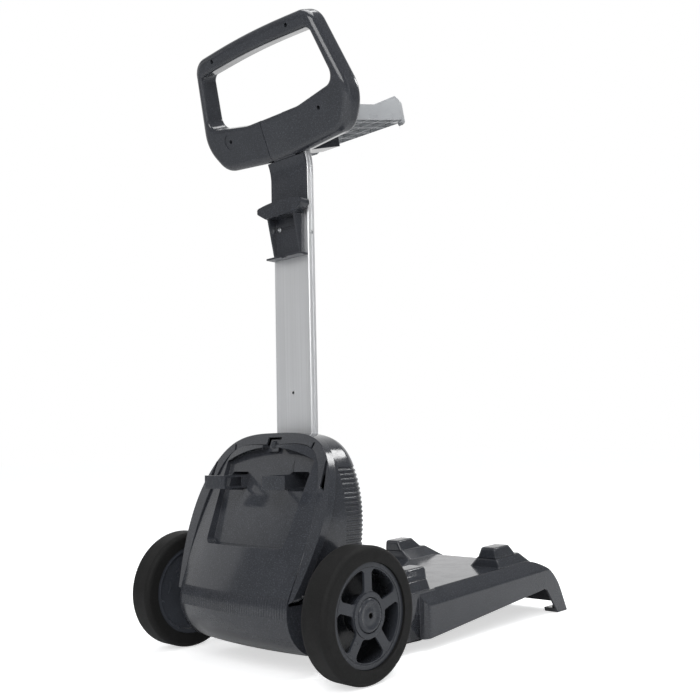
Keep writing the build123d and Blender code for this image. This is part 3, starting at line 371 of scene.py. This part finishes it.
bright = plated("zinc_plate", (0.55, 0.56, 0.57), rough=0.28)
finish_as(bright, "axle", "push_nuts")
nylon = moulded(
    "inner_plastic",
    colour=(0.02, 0.02, 0.022),
    gloss=0.45,
    grain_size=1500.0,
    grain_height=0.00003,
    flecks=0.2,
    specular=0.3,
)
finish_as(nylon, "wheel_spacers")


# Wheel rims: five-spoke mouldings in dark grey plastic that turn freely on the axle, with
# edges rounded over by the mould. Painted shade darkens the dish behind the spokes and the
# hole in the hub's middle, and painted light brightens the side towards the chassis.
axle_y = -0.262
axle_z = 0.090
dish_x = 0.186
spoke_x = 0.201
back_wall_x = 0.1740
back_wall_end_x = 0.1765
# Painted shade: the dish behind the spokes is darkened to this share of the rims' colour.
dish_painted_shade = 0.25
# Painted light: faces turned towards the chassis are brightened by this factor.
inner_painted_light = 1.6
turned_in = -0.12
turned_side = -0.06
# Painted shade: the hub's hole is darkened between these radii, down to the share below.
hole_r = 0.0035
hole_rim_r = 0.0043
hole_painted_shade = 0.03
wheel_grey = moulded(
    "rim_plastic",
    colour=(0.029, 0.0315, 0.0375),
    gloss=0.24,
    grain_size=1500.0,
    grain_height=0.00003,
    flecks=0.3,
    specular=0.35,
)
rim_tree = wheel_grey.node_tree
rim_face = rim_tree.nodes["Principled BSDF"]
rim_colour = rim_face.inputs["Base Color"].links[0].from_socket
rim_place = rim_tree.nodes.new("ShaderNodeTexCoord")
rim_axes = rim_tree.nodes.new("ShaderNodeSeparateXYZ")
rim_depth = reckon(rim_tree, "ABSOLUTE")
# Painted shade: the colour darkens with depth into the dish behind the spokes.
dish_front = spread(rim_tree, dish_x, spoke_x, dish_painted_shade, 1.0)
dish_back = spread(rim_tree, back_wall_x, back_wall_end_x, 1.0, 0.0)
# Painted light: faces turned towards the chassis are lightened above the plain colour.
rim_facing = rim_tree.nodes.new("ShaderNodeSeparateXYZ")
rim_outward = reckon(rim_tree, "MULTIPLY")
dish_inner = spread(rim_tree, turned_in, turned_side, inner_painted_light, 0.0)
dish_rear = reckon(rim_tree, "MAXIMUM")
dish = reckon(rim_tree, "MAXIMUM")
# Painted shade: the hole in the hub's middle is darkened towards its floor.
spin_axis = reckon_vector(rim_tree, "MULTIPLY_ADD")
spin_axis.inputs[1].default_value = (0.0, 1.0, 1.0)
spin_axis.inputs[2].default_value = (0.0, -axle_y, -axle_z)
hole_away = reckon_vector(rim_tree, "LENGTH")
hole = spread(rim_tree, hole_r, hole_rim_r, hole_painted_shade, 1.0)
rim_shade = reckon(rim_tree, "MULTIPLY")
rim_tint = reckon_vector(rim_tree, "SCALE")
rim_tree.links.new(rim_place.outputs["Object"], rim_axes.inputs[0])
rim_tree.links.new(rim_axes.outputs["X"], rim_depth.inputs[0])
rim_tree.links.new(rim_depth.outputs[0], dish_front.inputs["Value"])
rim_tree.links.new(rim_depth.outputs[0], dish_back.inputs["Value"])
rim_tree.links.new(dish_front.outputs["Result"], dish.inputs[0])
rim_tree.links.new(rim_place.outputs["Normal"], rim_facing.inputs[0])
rim_tree.links.new(rim_facing.outputs["X"], rim_outward.inputs[0])
rim_tree.links.new(rim_axes.outputs["X"], rim_outward.inputs[1])
rim_tree.links.new(rim_outward.outputs[0], dish_inner.inputs["Value"])
rim_tree.links.new(dish_back.outputs["Result"], dish_rear.inputs[0])
rim_tree.links.new(dish_inner.outputs["Result"], dish_rear.inputs[1])
rim_tree.links.new(dish_rear.outputs[0], dish.inputs[1])
rim_tree.links.new(rim_place.outputs["Object"], spin_axis.inputs[0])
rim_tree.links.new(spin_axis.outputs["Vector"], hole_away.inputs[0])
rim_tree.links.new(hole_away.outputs["Value"], hole.inputs["Value"])
# The painted shade and painted light scale the rims' colour here.
rim_tree.links.new(dish.outputs[0], rim_shade.inputs[0])
rim_tree.links.new(hole.outputs["Result"], rim_shade.inputs[1])
rim_tree.links.new(rim_colour, rim_tint.inputs[0])
rim_tree.links.new(rim_shade.outputs[0], rim_tint.inputs["Scale"])
rim_tree.links.new(rim_tint.outputs["Vector"], rim_face.inputs["Base Color"])
for side in ("right", "left"):
    softened(
        side + "_wheel_rim",
        side + "_rim_moulding",
        side + "_wheel",
        wheel_grey,
        width=0.0009,
    )


# Tyres: solid foam rings moulded in one piece, matte black with a finely pored skin,
# stretched over the rims and held in their seats by their own tension.
foam = moulded(
    "tyre_foam",
    colour=(0.0062, 0.0061, 0.006),
    gloss=0.68,
    grain_size=900.0,
    grain_height=0.00025,
    flecks=0.9,
    specular=0.25,
)
finish_as(foam, "right_tyre", "left_tyre")


# Hub caps: round dished caps pressed into the hubs over the push nuts, with a raised ring
# and a small blind hole in the middle, in the rims' dark grey plastic.
# The line that is turned gives each point's radius and its depth behind the cap's face.
cap_line = [
    (0.0, 0.0042),
    (0.0034, 0.0042),
    (0.0034, 0.0012),
    (0.0042, 0.0007),
    (0.0062, 0.0009),
    (0.0095, 0.0016),
    (0.0125, 0.0019),
    (0.0150, 0.0014),
    (0.0168, 0.0004),
    (0.0184, 0.0000),
    (0.0202, 0.0004),
    (0.0216, 0.0014),
    (0.0226, 0.0030),
    (0.0228, 0.0066),
]
cap_steps = 72


def hub_cap(name, node, body, face_x, out):
    bpy.ops.object.select_all(action="DESELECT")
    bpy.ops.mesh.primitive_circle_add(vertices=len(cap_line), radius=0.01, fill_type="NOTHING")
    cap = bpy.context.object
    cap.name = name
    low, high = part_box(node)
    mid = Vector((0.0, (low[1] + high[1]) / 2, (low[2] + high[2]) / 2))
    for vertex, (r, depth) in zip(cap.data.vertices, cap_line):
        vertex.co = (face_x - out * depth, mid.y, mid.z + r)
    bpy.ops.object.mode_set(mode="EDIT")
    bpy.ops.mesh.select_all(action="SELECT")
    bpy.ops.mesh.spin(steps=cap_steps, angle=2 * math.pi, center=mid, axis=(1.0, 0.0, 0.0))
    bpy.ops.mesh.select_all(action="SELECT")
    bpy.ops.mesh.remove_doubles(threshold=0.00001)
    bpy.ops.mesh.normals_make_consistent(inside=False)
    bpy.ops.object.mode_set(mode="OBJECT")
    bpy.ops.object.shade_smooth_by_angle(angle=math.radians(50.0))
    # The rims' material paints shade into the hole in the cap's middle.
    cap.data.materials.append(wheel_grey)
    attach(cap, body)
    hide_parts(node)


hub_cap("right_cap", "right_hub_cap", "right_wheel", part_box("right_hub_cap")[1][0], 1.0)
hub_cap("left_cap", "left_hub_cap", "left_wheel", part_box("left_hub_cap")[0][0], -1.0)


# Mast socket: a hidden black nylon moulding that stands on the chassis round the mast's foot,
# screwed down to it through a flange, with two plated bolts through socket and mast.
finish_as(nylon, "mast_socket")
finish_as(bright, "socket_screws", "mast_bolts")


# Mast: a flat aluminium extrusion, bent back at the top, natural anodised with a satin face
# and faint draw lines along its length; a small plated rivet head shows on its right edge.
silver = bpy.data.materials.new("mast_aluminium")
silver.use_nodes = True
st = silver.node_tree
silver_face = st.nodes["Principled BSDF"]
silver_face.inputs["Metallic"].default_value = 0.85
silver_place = st.nodes.new("ShaderNodeTexCoord")
silver_map = st.nodes.new("ShaderNodeMapping")
silver_map.inputs["Scale"].default_value = (700.0, 700.0, 4.0)
draw_lines = noise(st, 1.0, 3.0)
silver_tone = spread(st, 0.25, 0.75, 0.94, 1.06)
silver_tint = reckon_vector(st, "SCALE")
silver_tint.inputs[0].default_value = (0.77, 0.775, 0.785)
silver_rough = spread(st, 0.25, 0.75, 0.38, 0.5)
st.links.new(silver_place.outputs["Object"], silver_map.inputs["Vector"])
st.links.new(silver_map.outputs["Vector"], draw_lines.inputs["Vector"])
st.links.new(draw_lines.outputs["Fac"], silver_tone.inputs["Value"])
st.links.new(silver_tone.outputs["Result"], silver_tint.inputs["Scale"])
st.links.new(silver_tint.outputs["Vector"], silver_face.inputs["Base Color"])
st.links.new(draw_lines.outputs["Fac"], silver_rough.inputs["Value"])
st.links.new(silver_rough.outputs["Result"], silver_face.inputs["Roughness"])
finish_as(silver, "mast")

mast_edge_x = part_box("mast")[1][0]
rivet_mid = (mast_edge_x + 0.0006, -0.1888, 0.648)
rivet_r = 0.0026
rivet_h = 0.0016
rivet_rim_x = mast_edge_x + 0.001
rivet_round = 0.0011
bpy.ops.object.select_all(action="DESELECT")
bpy.ops.mesh.primitive_cylinder_add(
    vertices=20,
    radius=rivet_r,
    depth=rivet_h,
    location=rivet_mid,
    rotation=(0.0, math.pi / 2, 0.0),
)
rivet = bpy.context.object
rivet.name = "mast_rivet"
bpy.ops.object.transform_apply(location=True, rotation=True, scale=True)
for edge in rivet.data.edges:
    edge.select = all(rivet.data.vertices[v].co.x > rivet_rim_x for v in edge.vertices)
bpy.ops.object.mode_set(mode="EDIT")
bpy.ops.mesh.select_mode(type="EDGE")
bpy.ops.mesh.bevel(offset=rivet_round, segments=4)
bpy.ops.object.mode_set(mode="OBJECT")
bpy.ops.object.shade_smooth_by_angle(angle=math.radians(40.0))
rivet.data.materials.append(bright)
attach(rivet, "chassis")


# Housing hood: the arched shell over the foot of the mast, moulded in the same charcoal
# plastic, with finger grooves on its front corners; four screws from below hold it.
softened("housing_hood", "hood_moulding", "chassis", charcoal, width=0.0008)
finish_as(bright, "hood_screws")


# Rear cover: a crowned panel that runs down into a barrel round the axle, moulded in charcoal
# plastic, with a sunk panel, two cord cleats and a band of fine flutes round the barrel;
# it snaps into the hood at the top and is screwed to the chassis at the barrel's ends.
softened("rear_cover", "cover_moulding", "chassis", charcoal, width=0.0006)
finish_as(bright, "cover_screws")

barrel_mid = Vector((0.0, -0.2725, 0.090))
barrel_r = 0.065
crown_mid = Vector((0.0, 0.3125, 0.0))
crown_r = 0.650
flute_r = 0.0015
flute_sunk = 0.0005
flute_sides = 12
flute_steps = 6
flute_pitch = 0.0046
flute_top = math.radians(-6.0)
flute_turn = math.radians(24.5)
flute_first = -24
flute_last = 25


def about(point, turn):
    return Matrix.Translation(point) @ turn @ Matrix.Translation(-point)


bpy.ops.object.select_all(action="DESELECT")
bpy.ops.mesh.primitive_circle_add(
    vertices=flute_sides,
    radius=flute_r,
    fill_type="NGON",
    location=barrel_mid + Vector((0.0, flute_sunk - barrel_r, 0.0)),
)
flute = bpy.context.object
bpy.ops.object.transform_apply(location=True, rotation=True, scale=True)
flute.data.transform(about(barrel_mid, Matrix.Rotation(-flute_top, 4, "X")))
bpy.ops.object.mode_set(mode="EDIT")
bpy.ops.mesh.select_all(action="SELECT")
bpy.ops.mesh.spin(steps=flute_steps, angle=flute_turn, center=barrel_mid, axis=(1.0, 0.0, 0.0))
bpy.ops.mesh.select_all(action="SELECT")
bpy.ops.mesh.remove_doubles(threshold=0.00001)
bpy.ops.mesh.normals_make_consistent(inside=False)
bpy.ops.object.mode_set(mode="OBJECT")
flutes = []
for i in range(flute_first, flute_last + 1):
    copy = bpy.data.objects.new("flute", flute.data.copy())
    copy.data.transform(about(crown_mid, Matrix.Rotation(i * flute_pitch / crown_r, 4, "Z")))
    scene.collection.objects.link(copy)
    flutes.append(copy)
bpy.data.objects.remove(flute)
bpy.ops.object.select_all(action="DESELECT")
for copy in flutes:
    copy.select_set(True)
bpy.context.view_layer.objects.active = flutes[0]
bpy.ops.object.join()
barrel_flutes = bpy.context.object
barrel_flutes.name = "barrel_flutes"
bpy.ops.object.shade_smooth_by_angle(angle=math.radians(50.0))
barrel_flutes.data.materials.append(charcoal)
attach(barrel_flutes, "chassis")


# Cover latch: the snap tab that holds the top of the rear cover in the hood's rim, with its
# round release button; a small moulding in the same charcoal plastic.
softened("cover_latch", "latch_moulding", "chassis", charcoal, width=0.0006)


# Neck cover: the thin charcoal moulding over the rear of the mast's bend, its tongue let into
# the rear shell of the handle.
softened(
    "neck_cover",
    "neck_moulding",
    "chassis",
    charcoal,
    width=0.0008,
    join=0.3,
)


# Cord hook: a moulded charcoal bracket on the rear of the mast with a drooping wing above and
# a ledge below, held by two bright pan-head screws with a round recess in the head.
softened("cord_hook", "hook_moulding", "chassis", charcoal, width=0.0008)

screw_low, screw_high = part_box("cord_hook_screws")
screw_rear_y = screw_low[1]
screw_y = (screw_low[1] + screw_high[1]) / 2
screw_z = (screw_high[2] + screw_low[2]) / 2
head_r = (screw_high[2] - screw_low[2]) / 2
head_h = 0.0026
head_round = 0.0012
recess_rim = 0.0009
recess_depth = 0.0014
shank_share = 0.46
bpy.ops.object.select_all(action="DESELECT")
bpy.ops.mesh.primitive_cylinder_add(
    vertices=32,
    radius=head_r,
    depth=screw_high[1] - screw_low[1],
    location=(0.0, screw_y, screw_z),
    rotation=(math.pi / 2, 0.0, 0.0),
)
hook_screw = bpy.context.object
bpy.ops.object.transform_apply(location=True, rotation=True, scale=True)
for face in hook_screw.data.polygons:
    face.select = face.normal.y < -0.9
bpy.ops.object.mode_set(mode="EDIT")
bpy.ops.mesh.select_mode(type="FACE")
bpy.ops.mesh.bevel(offset=head_round, segments=4, affect="EDGES")
bpy.ops.object.mode_set(mode="OBJECT")
for face in hook_screw.data.polygons:
    face.select = face.normal.y < -0.999 and face.center.y < screw_rear_y + 0.0001
bpy.ops.object.mode_set(mode="EDIT")
bpy.ops.mesh.inset(thickness=recess_rim)
bpy.ops.mesh.extrude_region_move(TRANSFORM_OT_translate={"value": (0.0, recess_depth, 0.0)})
bpy.ops.object.mode_set(mode="OBJECT")
for vertex in hook_screw.data.vertices:
    away = math.hypot(vertex.co.x, vertex.co.z - screw_z)
    if vertex.co.y > screw_rear_y + head_h and away > head_r * 0.5:
        vertex.co.x *= shank_share
        vertex.co.z = screw_z + (vertex.co.z - screw_z) * shank_share
bpy.ops.object.shade_smooth_by_angle(angle=math.radians(40.0))
hook_screw.data.materials.append(bright)
second = bpy.data.objects.new("hook_screw_left", hook_screw.data.copy())
scene.collection.objects.link(second)
hook_screw.name = "hook_screw_right"
hook_screw.data.transform(Matrix.Translation((screw_high[0] - head_r, 0.0, 0.0)))
second.data.transform(Matrix.Translation((screw_low[0] + head_r, 0.0, 0.0)))
for screw in (hook_screw, second):
    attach(screw, "chassis")
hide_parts("cord_hook_screws")


# Handle: a wide loop grip of two moulded half shells, screwed together round the mast's bent
# top from behind by blackened screws, in the glossy charcoal plastic.
finish_as(charcoal, "handle_rear_shell", "handle_front_shell")
dark = plated("black_oxide", (0.05, 0.05, 0.054), rough=0.4)
finish_as(dark, "handle_screws")


# Power supply tray: a shallow tray in front of the handle, moulded in silver grey with a
# ribbed underside and screwed to the front shell, with a charcoal bracket under it.
silver_grey = moulded(
    "grey_plastic",
    colour=(0.33, 0.339, 0.35),
    gloss=0.3,
    grain_size=1500.0,
    grain_height=0.00003,
    flecks=0.1,
    specular=0.4,
)
softened("power_supply_tray", "tray_moulding", "chassis", silver_grey, width=0.0004)
softened("tray_bracket", "bracket_moulding", "chassis", charcoal, width=0.0008)
finish_as(bright, "tray_screws")
